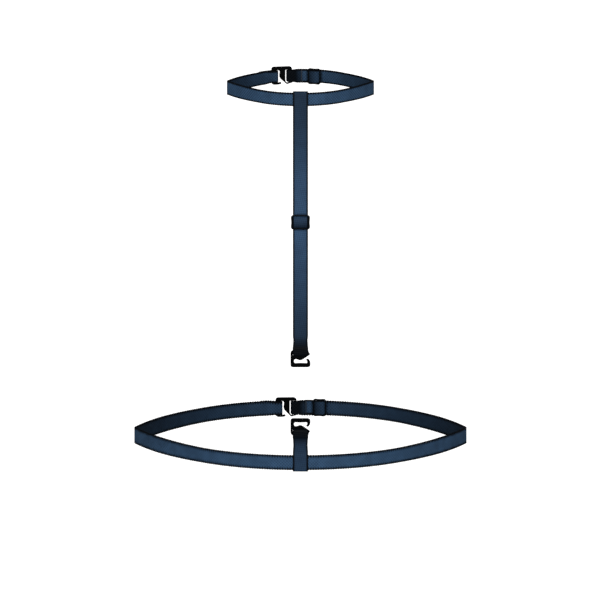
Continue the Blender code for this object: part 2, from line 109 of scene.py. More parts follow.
def elastic_material(name, satin, shade, cord, pitch, slants, depth, roughness):
    """Colour and relief from the ribbon's own attributes: along and across in millimetres, and a darkening from 0 to 1.

    The knit is the sum of two sine gratings, each running along a slant (share of along, share of across). It is
    drawn pitch millimetres apart, coarser than the real 0.4 mm courses, so that it shows at all. Slow noise gives the
    uneven dye, and the darkening takes the colour to that of the edge cords. The darkening carries the edge cords and
    the brushed back, and also painted shade.
    """
    made, tree, output = new_material(name)
    along, across, cord_back_and_painted_shade = (
        add_node(tree, "ShaderNodeAttribute", attribute_name=key).outputs["Fac"] for key in ("along", "across", "cord_back_and_painted_shade")
    )
    waves = []
    for lengthwise, crosswise in slants:
        turns = 2 * math.pi / pitch
        lean = add_node(tree, "ShaderNodeMath", {0: across, 1: turns * crosswise}, operation="MULTIPLY").outputs[0]
        angle = add_node(
            tree, "ShaderNodeMath", {0: along, 1: turns * lengthwise, 2: lean}, operation="MULTIPLY_ADD"
        ).outputs[0]
        waves.append(add_node(tree, "ShaderNodeMath", {0: angle}, operation="SINE").outputs[0])
    knit = add_node(tree, "ShaderNodeMath", {0: waves[0], 1: waves[1]}, operation="ADD").outputs[0]
    place = add_node(tree, "ShaderNodeTexCoord").outputs["Object"]
    dye = add_node(
        tree, "ShaderNodeTexNoise", {"Vector": place, "Scale": 120.0, "Detail": 4.0, "Roughness": 0.6}
    ).outputs["Fac"]
    height = add_node(tree, "ShaderNodeMath", {0: knit, 1: 0.2, 2: dye}, operation="MULTIPLY_ADD").outputs[0]
    mixed = add_node(
        tree, "ShaderNodeMapRange", {"Value": height, "From Min": 0.15, "From Max": 0.85}
    ).outputs["Result"]
    colour = add_node(
        tree, "ShaderNodeMix", {0: mixed, 6: linear(shade), 7: linear(satin)}, data_type="RGBA"
    ).outputs[2]
    colour = add_node(tree, "ShaderNodeMix", {0: cord_back_and_painted_shade, 6: colour, 7: linear(cord)}, data_type="RGBA").outputs[2]
    relief = add_node(tree, "ShaderNodeBump", {"Height": knit, "Distance": depth * MM, "Strength": 0.5})
    shader = add_node(
        tree,
        "ShaderNodeBsdfPrincipled",
        {"Base Color": colour, "Normal": relief.outputs["Normal"], "Roughness": roughness},
    )
    shader.inputs["Specular IOR Level"].default_value = 0.05
    shader.inputs["Sheen Weight"].default_value = 0.015
    shader.inputs["Sheen Roughness"].default_value = 0.4
    tree.links.new(shader.outputs["BSDF"], output.inputs["Surface"])
    return made


# The band has a cross-hatched twill face; the strap is smoother, with faint wales along it.
band_elastic = elastic_material(
    "navy_twill_knit_band_elastic", "#395573", "#25394F", "#05090F", 2.4, ((1, 1), (1, -1)), 0.15, 0.6
)
strap_elastic = elastic_material(
    "navy_satin_knit_strap_elastic", "#35516F", "#2A3F59", "#05080D", 1.5, ((0.2, 1), (0.9, 0.1)), 0.05, 0.5
)


def smooth_line(keys, step):
    """A Catmull-Rom curve through the keys, resampled at even steps: returns (points, lengths)."""
    keys = np.asarray(keys, float)
    ends = np.vstack([2 * keys[:1] - keys[1:2], keys, 2 * keys[-1:] - keys[-2:-1]])
    t = np.linspace(0, 1, 13)[:-1, None]
    a, b, c, d = (ends[i : len(ends) - 3 + i][:, None] for i in range(4))
    curve = 0.5 * (2 * b + (c - a) * t + (2 * a - 5 * b + 4 * c - d) * t**2 + (3 * b - a - 3 * c + d) * t**3)
    curve = np.vstack([curve.reshape(-1, keys.shape[1]), keys[-1:]])
    lengths = np.concatenate([[0], np.cumsum(np.linalg.norm(np.diff(curve, axis=0), axis=1))])
    even = np.linspace(0, lengths[-1], max(3, int(lengths[-1] / step)))
    return np.stack([np.interp(even, lengths, column) for column in curve.T], axis=1), even


def grid_mesh(name, grid, facts, material, smooth=True):
    """A closed tube from a grid of (rows, points round the section, 3), its ends zipped shut, facing out."""
    rows, around = grid.shape[:2]
    index = np.arange(rows * around).reshape(rows, around)
    turned = np.roll(index, -1, axis=1)
    sides = np.stack([index[:-1], turned[:-1], turned[1:], index[1:]], axis=-1).reshape(-1, 4)
    k = np.arange(around // 2 - 1)
    first = np.stack([index[0, k], index[0, around - 1 - k], index[0, around - 2 - k], index[0, k + 1]], axis=-1)
    last = np.stack([index[-1, k], index[-1, k + 1], index[-1, around - 2 - k], index[-1, around - 1 - k]], axis=-1)
    faces = np.vstack([sides, first, last])
    points = grid.reshape(-1, 3)
    a, b, c, d = (points[faces[:, i]] for i in range(4))
    volume = np.einsum("ij,ij->", a, np.cross(b, c)) + np.einsum("ij,ij->", a, np.cross(c, d))
    if volume < 0:
        faces = faces[:, ::-1]
    mesh = bpy.data.meshes.new(name)
    mesh.from_pydata(points * MM, [], faces.tolist())
    for key, values in facts.items():
        mesh.attributes.new(key, "FLOAT", "POINT").data.foreach_set("value", values.astype(np.float32).ravel())
    mesh.materials.append(material)
    mesh.shade_smooth()
    made = bpy.data.objects.new(name, mesh)
    bpy.context.scene.collection.objects.link(made)
    return made


def ribbon_section():
    """(share across, edge bulge, height) of each point round a flat section with round edges, counted in halves."""
    face = np.linspace(-1, 1, FACE_POINTS)
    turn = np.linspace(np.pi / 2, -np.pi / 2, EDGE_POINTS + 2)[1:-1]
    share = np.concatenate([face, np.ones(EDGE_POINTS), face[::-1], -np.ones(EDGE_POINTS)])
    bulge = np.concatenate([0 * face, np.cos(turn), 0 * face, -np.cos(turn)])
    height = np.concatenate([1 + 0 * face, np.sin(turn), -1 + 0 * face, -np.sin(turn)])
    return share, bulge, height


def add_ribbon(
    name, keys, across, half_width, thickness, material,
    out_sign=1, relief=None, cord_back_and_painted_shade=0.0, back_dull_and_painted_shade=BACK_DULL, picot=0.0, cord=CORD_SHADE,
):
    """Elastic carried along a smooth line through the keys, with its width along the unit vector across.

    half_width, thickness and the darkening are numbers or one value for each key. relief(along, across) is the height
    of the knit, and picot the depth of the looped teeth on the edges. The satin face looks along tangent x across, or
    the other way if out_sign is -1; the back is duller. The darkening and the back's darkening carry painted shade as
    well as the edge cords and the brushed back.
    """
    keys = np.asarray(keys, float)
    columns = [np.broadcast_to(v, len(keys)) for v in (half_width, cord_back_and_painted_shade, thickness, back_dull_and_painted_shade)]
    line, along = smooth_line(np.column_stack([keys, *columns]), STEP)
    half, dark, thick, behind = line[:, 3, None], np.clip(line[:, 4, None], 0, 1), line[:, 5, None], line[:, 6, None]
    line = line[:, :3]
    tangent = np.gradient(line, axis=0)
    tangent /= np.linalg.norm(tangent, axis=1, keepdims=True)
    across = np.asarray(across, float)
    out = out_sign * np.cross(tangent, across)
    out /= np.linalg.norm(out, axis=1, keepdims=True)
    share, bulge, height = ribbon_section()
    tooth = picot * (np.abs((along[:, None] / PICOT_PITCH) % 1 - 0.5) - 0.25)
    half = half + tooth
    wide = share * (half - thick / 2) + bulge * thick / 2
    cords = np.exp(-(((half - np.abs(wide)) / CORD_WIDTH) ** 2))
    knit = relief(along[:, None], wide) * (1 - cords) if relief else 0 * wide
    high = height * (thick / 2 + CORD_RISE * cords * (np.abs(bulge) < 0.01) + knit)
    grid = line[:, None] + wide[..., None] * across + high[..., None] * out[:, None]
    edge = np.clip((np.abs(wide) - half + cord + 4 * tooth) / 0.5, 0, 1)
    back = behind * (height < -0.3)
    # One darkening for the material: the edge cords, the brushed back and the painted shade passed in.
    facts = {
        "along": np.broadcast_to(along[:, None], wide.shape),
        "across": wide,
        "cord_back_and_painted_shade": 1 - (1 - edge) * (1 - back) * (1 - dark),
    }
    return grid_mesh(name, grid, facts, material)


def hatched(along, across):
    """Crossing ridges at 45 degrees, 2.4 mm apart: the knit of the two bands."""
    turns = 2 * np.pi / 2.4
    return 0.02 * (np.sin(turns * (along + across)) + np.sin(turns * (along - across)))


def ribbed(along, across):
    """Fine wales along the strap, 1.5 mm apart, the knit of the satin elastic."""
    return 0.015 * np.sin(2 * np.pi * across / 1.5) + 0 * along


# ---- Neck band and waist band --------------------------------------------------------------------------------------
# One length of elastic each. From a folded end it goes round the hook's bar, round the wearer, and ends in an eye
# that catches the hook. Seen from above it is a wide arc front and back, bent sharply at each side.

# In each ring the crease figure is painted shade on the inside face, deepening towards the side creases; inner_dull is
# the brushed back's own dullness.
RINGS = {
    "neck": dict(
        wide=57.0, deep=45.0, arc=46.7, span=31.2, hook_right=-6.6, yaw=10.0, width=10.8, slider=11.9,
        inner_dull=0.22, crease_painted_shade=0.36, crease_spread=0.3, picot=0.4, front_dull=0.07, edge=1.6,
    ),
    "waist": dict(
        wide=129.2, deep=103.5, arc=116.4, span=78.0, hook_right=-3.0, yaw=3.0, width=12.0, slider=15.5,
        inner_dull=0.35, crease_painted_shade=0.48, crease_spread=0.5, picot=1.2, front_dull=0.0, edge=2.0,
    ),
}
for name, ring in RINGS.items():
    low, high = (np.array(corner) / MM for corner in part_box(f"{name}_band"))
    ring["level"] = (low[2] + high[2]) / 2
    ring["middle"] = low[1] + BAND_THICKNESS / 2 + ring["deep"]
    ring["pivot"] = np.array(joints[f"{name}_hook_tilt"]["pos_m"])[:2] / MM
    ring["arc_end"] = ring["arc"] * math.asin(ring["span"] / ring["arc"])
HOOK_BAR = 1.5
HOOK_LENGTH = 16.5
FOLD_RADIUS = 1.65
EYE_RADIUS = 1.96
EYE_MIDDLE = 12.76  # from the strap bar to the middle of the eye's fold
FOLD_MIDDLE = 1.8
FOLD_DRAW = 0.4  # the fold is drawn in at its lower edge, clear of the slot's slanted corner
GATHER = 1.3


def along_arc(ring, place, offset=0.0):
    """Plan points at these lengths along the back arc, moved outwards by offset."""
    angle = np.asarray(place, float) / ring["arc"]
    radius = ring["arc"] + offset
    back = ring["middle"] + ring["deep"] - ring["arc"]
    return np.stack([radius * np.sin(angle), back + radius * np.cos(angle)], axis=-1)


def side_points(ring, crease):
    """One arc from the end of the back arc, tangent to it, to just short of the crease at the right."""
    joint = along_arc(ring, ring["arc_end"])
    corner = np.array([ring["wide"], ring["middle"]])
    turned = ring["arc_end"] / ring["arc"]
    normal = np.array([math.sin(turned), math.cos(turned)])
    gap = joint - corner
    radius = gap @ gap / (2 * gap @ normal)
    centre = joint - radius * normal
    last = math.atan2(*(corner - centre)) - crease / radius
    angle = np.linspace(turned, last, 12)[1:, None]
    return centre + radius * np.hstack([np.sin(angle), np.cos(angle)])


def round_the_front(ring, crease=1.7):
    """Plan points from the right end of the back arc, round both creases, to its left end."""
    side = side_points(ring, crease)
    flip = np.array([1, -1])
    mirror = np.array([0, 2 * ring["middle"]])
    corner = np.array([[ring["wide"] - 0.1 * crease, ring["middle"]]])
    front = along_arc(ring, np.linspace(ring["arc_end"], 0, 14)) * flip + mirror
    half = np.vstack([side, corner, (side * flip + mirror)[::-1], front])
    return np.vstack([half, half[-2::-1] * np.array([-1, 1])])


def on_hook(ring, along, out):
    """Plan points in the closure hook's frame: along its length from the strap bar, and outwards."""
    yaw = math.radians(ring["yaw"])
    away = np.array([-math.cos(yaw), -math.sin(yaw)])
    outwards = np.array([away[1], -away[0]])
    return ring["pivot"] + np.outer(along, away) + np.outer(out, outwards)


def half_turn(middle, radius, facing):
    """(along, out) of a fold from its inner to its outer side, bulging to the facing side."""
    angle = np.linspace(-np.pi / 2, np.pi / 2, 9)
    return middle + facing * radius * np.cos(angle), radius * np.sin(angle)


def raise_points(ring, plan):
    return np.column_stack([plan, np.full(len(plan), ring["level"])])


def add_band(name):
    """The whole band as one ribbon: return ply, fold, round the wearer, eye and tail."""
    ring = RINGS[name]
    ply = BAND_THICKNESS + PLY_GAP
    full, gathered = ring["width"] / 2, (ring["width"] - GATHER) / 2
    leave = ring["hook_right"] + 4.0
    eye_leave = ring["hook_right"] - HOOK_LENGTH - 6.5
    back = along_arc(ring, np.linspace(ring["slider"] + 2.0, leave, 6), -ply)
    straight = HOOK_BAR + PLY_GAP
    turn = half_turn(FOLD_MIDDLE, FOLD_RADIUS, 1)
    drawn = FOLD_DRAW * np.r_[0, 1 - (turn[1] / FOLD_RADIUS) ** 2, 0]
    fold = on_hook(ring, np.r_[-straight, turn[0], -straight], np.r_[-FOLD_RADIUS, turn[1], FOLD_RADIUS])
    right = along_arc(ring, np.linspace(leave, ring["arc_end"], 10))
    round_ = round_the_front(ring)
    left = along_arc(ring, np.linspace(-ring["arc_end"], eye_leave, 4 if name == "neck" else 12))[1:]
    turn = half_turn(EYE_MIDDLE, EYE_RADIUS, -1)
    bar_end = HOOK_LENGTH - HOOK_BAR / 2 + PLY_GAP
    eye = on_hook(ring, np.r_[bar_end, turn[0], bar_end], np.r_[-EYE_RADIUS, turn[1], EYE_RADIUS])
    tail = along_arc(ring, np.linspace(eye_leave, eye_leave - 5.0, 3), ply)
    parts = [back, fold, right, round_, left, eye, tail]
    halves = [full, gathered - drawn, full, full, full, gathered, full]
    # How dark each part is painted: the fold round the hook's bar is painted shade at its darkest and the back ply
    # darkens into it, and the eye and the tail carry lighter painted shade.
    darks = [np.array([0.0, 0.05, 0.12, 0.35, 0.65, 0.9]), 1.0, 0.0, ring["front_dull"], 0.0, 0.1, 0.3]
    keys = raise_points(ring, np.vstack(parts))
    keys[len(back) : len(back) + len(fold), 2] += drawn
    half = np.concatenate([np.broadcast_to(h, len(p)) for p, h in zip(parts, halves)])
    dark = np.concatenate([np.broadcast_to(d, len(p)) for p, d in zip(parts, darks)])
    sideways = np.clip(np.abs(keys[:, 0]) / ring["wide"], 0, 1)
    half = half + ring["crease_spread"] * np.clip((sideways - 0.6) / 0.25, 0, 1)
    # On the inside face the brushed back is duller, and painted shade deepens towards the side creases.
    made = add_ribbon(
        f"{name}_band_elastic", keys, (0, 0, 1), half, BAND_THICKNESS, band_elastic,
        relief=hatched, cord_back_and_painted_shade=dark, back_dull_and_painted_shade=ring["inner_dull"] + ring["crease_painted_shade"] * sideways**1.3,
        picot=ring["picot"], out_sign=-1, cord=ring["edge"],
    )
    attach(made, f"{name}_loop")
    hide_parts(f"{name}_band")


add_band("neck")
add_band("waist")


# ---- Thread -------------------------------------------------------------------------------------------------------
# Corespun polyester, a shade darker than the elastic. Each row is a zigzag bartack sunk a little into the elastic.

THREAD_RADIUS = 0.16


def thread_material():
    made, tree, output = new_material("dark_navy_polyester_thread")
    place = add_node(tree, "ShaderNodeTexCoord").outputs["Object"]
    twist = add_node(tree, "ShaderNodeTexNoise", {"Vector": place, "Scale": 2500.0, "Detail": 2.0}).outputs["Fac"]
    colour = add_node(
        tree, "ShaderNodeMix", {0: twist, 6: linear("#0B1119"), 7: linear("#1D2A3A")}, data_type="RGBA"
    ).outputs[2]
    shader = add_node(tree, "ShaderNodeBsdfPrincipled", {"Base Color": colour, "Roughness": 0.5})
    tree.links.new(shader.outputs["BSDF"], output.inputs["Surface"])
    return made


polyester_thread = thread_material()


def add_thread(name, keys, body, *nodes):
    """A round thread carried along a smooth line through the keys."""
    line, along = smooth_line(keys, 0.12)
    tangent = np.gradient(line, axis=0)
    tangent /= np.linalg.norm(tangent, axis=1, keepdims=True)
    side = np.cross(tangent, (0.31, 0.53, 0.79))
    side /= np.linalg.norm(side, axis=1, keepdims=True)
    rise = np.cross(tangent, side)
    angle = np.linspace(0, 2 * np.pi, 9)[:-1]
    ring = np.cos(angle)[:, None] * side[:, None] + np.sin(angle)[:, None] * rise[:, None]
    made = grid_mesh(name, line[:, None] + THREAD_RADIUS * ring, {}, polyester_thread)
    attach(made, body)
    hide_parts(*nodes)
    return made


def zigzag(start, end, sway, turns):
    """Points that swing by sway to each side of the line from start to end."""
    start, end, sway = (np.asarray(v, float) for v in (start, end, sway))
    share = np.linspace(0, 1, 2 * turns + 1)[:, None]
    side = np.where(np.arange(2 * turns + 1) % 2 == 0, 1, -1)[:, None]
    return start + share * (end - start) + side * sway


def add_eye_stitching(name):
    ring = RINGS[name]
    low, high = (np.array(corner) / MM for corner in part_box(f"{name}_eye_stitching"))
    place = ring["hook_right"] - HOOK_LENGTH - 6.5 - 1.2
    out = 1.5 * BAND_THICKNESS + PLY_GAP + THREAD_RADIUS
    left, right = along_arc(ring, np.array([place - 0.6, place + 0.6]), out)
    middle = (left + right) / 2
    sway = np.array([*(right - left) / 2, 0])
    start = (*middle, low[2])
    add_thread(f"{name}_eye_bartack", zigzag(start, (*middle, high[2]), sway, 11), f"{name}_loop", f"{name}_eye_stitching")


add_eye_stitching("neck")
add_eye_stitching("waist")


# ---- Hooks --------------------------------------------------------------------------------------------------------
# Swan hooks, injection moulded in black acetal. A closed rail joins the strap bar to the open end; the cross bar
# bellies towards the mouth, and the tip turns back to keep a ring from slipping out. Mould polish leaves them glossy.

HOOK_THICKNESS = 1.4
HOOK_BEVEL = 0.6


def plastic_material(name, deep, worn, roughness, specular):
    made, tree, output = new_material(name)
    place = add_node(tree, "ShaderNodeTexCoord").outputs["Object"]
    cloud = add_node(tree, "ShaderNodeTexNoise", {"Vector": place, "Scale": 400.0, "Detail": 4.0}).outputs["Fac"]
    colour = add_node(
        tree, "ShaderNodeMix", {0: cloud, 6: linear(deep), 7: linear(worn)}, data_type="RGBA"
    ).outputs[2]
    rough = add_node(
        tree, "ShaderNodeMapRange", {"Value": cloud, "To Min": roughness - 0.08, "To Max": roughness + 0.08}
    ).outputs["Result"]
    relief = add_node(tree, "ShaderNodeBump", {"Height": cloud, "Distance": 0.02 * MM, "Strength": 0.3})
    shader = add_node(
        tree, "ShaderNodeBsdfPrincipled",
        {"Base Color": colour, "Roughness": rough, "Normal": relief.outputs["Normal"]},
    )
    shader.inputs["IOR"].default_value = 1.48
    shader.inputs["Specular IOR Level"].default_value = specular
    tree.links.new(shader.outputs["BSDF"], output.inputs["Surface"])
    return made


acetal = plastic_material("black_moulded_acetal", "#010202", "#040506", 0.4, 0.03)
nylon = plastic_material("black_moulded_nylon", "#020405", "#070C0F", 0.4, 0.07)


def rounded(corners, steps=8):
    """A closed outline from (x, y, cut) corners, each cut back by that length and bent round by a parabola."""
    corners = np.asarray(corners, float)
    here, before, after = corners[:, :2], np.roll(corners, 1, axis=0)[:, :2], np.roll(corners, -1, axis=0)[:, :2]
    t = np.linspace(0, 1, steps + 1)[None, :, None]
    ends = []
    for other in (before, after):
        side = other - here
        length = np.linalg.norm(side, axis=1, keepdims=True)
        ends.append((here + side / length * np.minimum(corners[:, 2:], 0.48 * length))[:, None])
    return ((1 - t) ** 2 * ends[0] + 2 * t * (1 - t) * here[:, None] + t**2 * ends[1]).reshape(-1, 2)


def hook_outlines(
    slot_width, slot_end, slot_corner, rail, foot, length, cross_end, bulge, ear, end_bar, window_inset, arm, tip, tip_lean
):
    """The outer edge of a swan hook and its strap slot, across by along, from the strap bar to the open end."""
    inner = slot_width / 2
    closed, mouth = -inner - rail, inner + foot
    window = length - end_bar
    side, arm = window_inset - inner, inner - arm
    outer = [
        (closed, 0, 3.0), (inner + 0.5, 0, 1.0), (inner + 0.6, 1.8, 0.8), (mouth, ear, 1.2), (1.4, bulge - 0.5, 1.6),
        (-0.6, bulge, 1.0), (-2.6, cross_end + 0.1, 1.4), (side + 0.9, cross_end, 0.8),
        (side, (cross_end + window) / 2, 1.2), (side + 0.8, window, 0.8), (-0.2, window - 0.3, 2.5), (arm, window, 1.0),
        (arm, tip + 1.7, 0.6), (arm - tip_lean, tip + 1.0, 0.4), (arm - tip_lean, tip, 0.8),
        (arm + 1.5 - tip_lean, tip - 0.3, 0.9), (mouth, tip + 2.1, 1.6), (mouth, length, 2.8), (closed, length, 2.2),
    ]
    slot = [
        (-inner, HOOK_BAR, 0.5), (inner, HOOK_BAR, 0.5), (inner, ear + 0.2, 0.4), (slot_corner, slot_end, 0.8),
        (-inner, slot_end, 0.7),
    ]
    return [rounded(outer), rounded(slot)]


def add_moulding(name, outlines, origin, x_axis, y_axis, thickness, bevel, material, body, node):
    """A flat moulding with round edges: its outline and holes filled, given its thickness and put in place."""
    data = bpy.data.curves.new(name, "CURVE")
    data.dimensions = "2D"
    data.fill_mode = "BOTH"
    data.extrude = thickness / 2 - bevel
    data.bevel_depth = bevel
    data.bevel_resolution = 4
    data.offset = -bevel
    for outline in outlines:
        spline = data.splines.new("POLY")
        spline.points.add(len(outline) - 1)
        flat = np.column_stack([outline, np.zeros(len(outline)), np.ones(len(outline))])
        spline.points.foreach_set("co", flat.ravel())
        spline.use_cyclic_u = True
    guide = bpy.data.objects.new(name + "_outline", data)
    bpy.context.scene.collection.objects.link(guide)
    graph = bpy.context.evaluated_depsgraph_get()
    mesh = bpy.data.meshes.new_from_object(guide.evaluated_get(graph))
    bpy.data.objects.remove(guide)
    form = bmesh.new()
    form.from_mesh(mesh)
    bmesh.ops.remove_doubles(form, verts=form.verts, dist=1e-4)
    bmesh.ops.recalc_face_normals(form, faces=form.faces)
    form.to_mesh(mesh)
    form.free()
    points = np.empty(len(mesh.vertices) * 3, np.float32)
    mesh.vertices.foreach_get("co", points)
    points = points.reshape(-1, 3)
    axes = np.array([x_axis, y_axis, np.cross(x_axis, y_axis)], float)
    placed = (points @ axes + np.asarray(origin, float)) * MM
    mesh.vertices.foreach_set("co", placed.astype(np.float32).ravel())
    mesh.name = name
    mesh.materials.clear()
    mesh.materials.append(material)
    mesh.shade_smooth()
    made = bpy.data.objects.new(name, mesh)
    bpy.context.scene.collection.objects.link(made)
    weighted = made.modifiers.new("flat_faces", "WEIGHTED_NORMAL")
    weighted.weight = 80
    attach(made, body)
    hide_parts(node)
    return made


BAND_HOOK = dict(
    slot_end=5.4, slot_corner=3.8, rail=2.8, foot=1.55, length=16.5, cross_end=9.9, bulge=10.3, ear=4.2, end_bar=2.4,
    window_inset=-0.2, arm=0.2, tip=8.8, tip_lean=0.3,
)
STRAP_HOOK = dict(
    slot_width=11.6, slot_end=5.2, slot_corner=2.6, rail=1.95, foot=1.95, length=13.8, cross_end=7.3, bulge=8.4, ear=3.5,
    end_bar=3.2, window_inset=0.5, arm=0.5, tip=7.2, tip_lean=0.7,
)

for name, ring in RINGS.items():
    yaw = math.radians(ring["yaw"])
    away = np.array([-math.cos(yaw), -math.sin(yaw), 0])
    origin = np.array([*ring["pivot"], ring["level"]]) - away * HOOK_BAR / 2
    outlines = hook_outlines(slot_width=ring["width"] - GATHER + 2 * PLY_GAP, **BAND_HOOK)
    add_moulding(
        f"{name}_swan_hook", outlines, origin, (0, 0, -1), away, HOOK_THICKNESS, HOOK_BEVEL, acetal,
        f"{name}_hook", f"{name}_hook",
    )

for name, upright in (("centre_hook", -1), ("tab_hook", 1)):
    low, high = (np.array(corner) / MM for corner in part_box(name))
    origin = (0, (low[1] + high[1]) / 2, high[2] if upright < 0 else low[2])
    add_moulding(
        name.replace("hook", "swan_hook"), hook_outlines(**STRAP_HOOK), origin, (1, 0, 0), (0, 0, upright),
        HOOK_THICKNESS, HOOK_BEVEL, acetal, name, name,
    )


# ---- Sliders ------------------------------------------------------------------------------------------------------
# Figure-of-eight sliders, injection moulded in black nylon. The elastic passes behind both end bars and over the
# middle bar, whose friction holds it.

SLIDER_THICKNESS = 1.4
SLIDER_BAR = 1.6
SLIDER_END_BAR = 0.9
CROSSING_THICKNESS = 0.8
PUFF = 0.5  # how far the elastic stands up over the middle bar
SLIDER_NOTCH = 0.5
CROSSING_END = 0.4


def slider_outlines(length, width, side):
    """A figure-of-eight slider's edge, with a shallow notch at mid length, and its two slots."""
    half, wide = length / 2, width / 2
    outer = [
        (-half, -wide, 2.6), (0, -wide + SLIDER_NOTCH, 1.2), (half, -wide, 2.6),
        (half, wide, 2.6), (0, wide - SLIDER_NOTCH, 1.2), (-half, wide, 2.6),
    ]
    inner, near, far = wide - side, SLIDER_BAR / 2, half - SLIDER_END_BAR
    slots = []
    for sign in (-1, 1):
        corners = [(near, -inner), (far, -inner), (far, inner), (near, inner)][::sign]
        slots.append(rounded([(sign * x, y, 0.7) for x, y in corners]))
    return [rounded(outer)] + slots


def crossing(length):
    """(along, out) of the elastic from behind one end bar, over the middle bar, to behind the other."""
    low = SLIDER_THICKNESS / 2 + PLY_GAP + CROSSING_THICKNESS / 2
    high = -low
    slot = length / 2 - SLIDER_END_BAR
    half = [(-length / 2 - CROSSING_END, low), (-slot, low), (0.35 - slot, 0.3), (0.9 - slot, high + 0.3)]
    half += [(-0.5 * slot, high - 0.7 * PUFF), (0, high - PUFF)]
    return np.array(half + [(-x, y) for x, y in reversed(half[:-1])])


def slider_painted_shade(route):
    """How much painted shade darkens the elastic on its way over the slider: darkest where it dives behind the first
    bar.
    """
    return np.interp(route[:, 0], [-6.0, -5.2, -4.4, -2.0, 2.0, 4.4, 5.2, 6.0], [0.4, 0.7, 0.9, 0.75, 0.5, 0.45, 0.75, 0.5])


def add_band_slider(name):
    """The slider, the elastic that crosses it, and the folded end of the band with its seam."""
    ring = RINGS[name]
    place, ply = ring["slider"], BAND_THICKNESS + PLY_GAP
    low, high = (np.array(corner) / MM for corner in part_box(f"{name}_slider"))
    level, squeezed = (low[2] + high[2]) / 2 + 0.5, ring["width"] - 0.8
    crossing_offset = -(ply + BAND_THICKNESS / 2 + PLY_GAP * 2 + CROSSING_THICKNESS / 2)
    plate_offset = crossing_offset - SLIDER_THICKNESS / 2 - PLY_GAP - CROSSING_THICKNESS / 2
    angle = place / ring["arc"]
    tangent = np.array([math.cos(angle), -math.sin(angle), 0])
    outwards = np.array([math.sin(angle), math.cos(angle), 0])
    seat = np.array([*along_arc(ring, place, plate_offset), level])
    add_moulding(
        f"{name}_figure_eight", slider_outlines(10.3, squeezed + 2 * (PLY_GAP + 1.3), 1.5), seat, tangent, (0, 0, 1),
        SLIDER_THICKNESS, 0.4, nylon, f"{name}_slider", f"{name}_slider",
    )
    route = crossing(10.3)
    keys = seat + np.outer(route[:, 0], tangent) + np.outer(route[:, 1], outwards)
    made = add_ribbon(
        f"{name}_crossing_elastic", keys, (0, 0, 1), squeezed / 2, CROSSING_THICKNESS, band_elastic,
        relief=hatched, cord_back_and_painted_shade=slider_painted_shade(route), out_sign=1, cord=0.9,
    )
    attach(made, f"{name}_slider")
    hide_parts(f"{name}_slider_crossing")

    start, end_offset = place - 11.9, -2 * ply
    end = place - (10.3 / 2 + CROSSING_END + 2 * PLY_GAP) * ring["arc"] / (ring["arc"] + end_offset)
    keys = np.column_stack([along_arc(ring, np.linspace(start, end, 5), end_offset), np.full(5, level)])
    # Painted shade on the folded end: darkest at the sewn end, lightest mid-way, darker again by the slider.
    made = add_ribbon(
        f"{name}_end_elastic", keys, (0, 0, 1), ring["width"] / 2 - 0.25, BAND_THICKNESS, band_elastic,
        relief=hatched, cord_back_and_painted_shade=(0.8, 0.4, 0.25, 0.2, 0.5), out_sign=1,
    )
    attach(made, f"{name}_slider")
    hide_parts(f"{name}_end_ply")
    out = end_offset - BAND_THICKNESS / 2 - THREAD_RADIUS / 2
    left, right = along_arc(ring, np.array([start + 0.5, start + 1.5]), out)
    middle, sway = (left + right) / 2, np.array([*(right - left) / 2, 0])
    reach = ring["width"] / 2 - 0.9
    ends = [(*middle, level + sign * reach) for sign in (-1, 1)]
    add_thread(f"{name}_end_bartack", zigzag(*ends, sway, 12), f"{name}_slider", f"{name}_end_seam")


add_band_slider("neck")
add_band_slider("waist")


# ---- Centre strap -------------------------------------------------------------------------------------------------
# Satin elastic, sewn over the front of the neck band. The single ply runs down to the slider; below it the strap is
# doubled round the hook's bar.

STRAP_WIDTH = 11.0
STRAP_HALF = STRAP_WIDTH / 2 + 0.4  # the looped edges stand out from the woven width
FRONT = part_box("centre_hook")
HANG = (FRONT[0].y + FRONT[1].y) / 2 / MM
DOUBLE = STRAP_THICKNESS + 0.4


def strap_shade(level):
    """How much painted shade darkens the satin down the strap: most in the fold round the hook and over the neck band,
    least round the slider, leaving a painted sheen there.
    """
    levels = (-198, -194, -188, -176, -152, -128, -108, -64, -40, -20, 0)
    return np.interp(level, levels, (1.0, 0.93, 0.66, 0.58, 0.4, 0.24, 0.06, 0.2, 0.46, 0.62, 0.68))


def strap_keys(points):
    points = np.asarray(points, float)
    return np.column_stack([np.zeros(len(points)), points])


def add_neck_wrap_and_strap():
    ring = RINGS["neck"]
    front_y = ring["middle"] - ring["deep"]
    top = ring["width"] / 2 + 0.15
    cap = top + STRAP_THICKNESS / 2
    rear = 2 * front_y - HANG + 0.35
    ends = HANG + STRAP_THICKNESS + PLY_GAP
    bottom = (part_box("centre_strap")[0].z) / MM
    points = [(ends, -9.0), (ends, -8.2), (ends + 0.25, -7.2), (rear - 0.2, -6.0), (rear, -5.0), (rear, 0.0), (rear, top - 0.9)]
    points += [(rear - 0.3, cap - 0.35), (rear - 0.95, cap), (HANG + 0.95, cap), (HANG + 0.3, cap - 0.35)]
    points += [(HANG, top - 0.9), (HANG, 0.0)] + [(HANG, z) for z in np.linspace(-8, bottom, 24)]
    made = add_ribbon(
        "centre_strap_elastic", strap_keys(points), (1, 0, 0), STRAP_HALF, STRAP_THICKNESS, strap_elastic,
        relief=ribbed, cord_back_and_painted_shade=strap_shade(np.array(points)[:, 1]), out_sign=1,
    )
    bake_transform(made)
    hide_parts("neck_strap_wrap", "centre_strap")
    out = ends + STRAP_THICKNESS / 2 + THREAD_RADIUS
    keys = zigzag((-4.4, out, -8.4), (4.4, out, -8.4), (0, 0, 0.5), 12)
    add_thread("neck_wrap_bartack", keys, "neck_loop", "neck_wrap_stitching")


add_neck_wrap_and_strap()


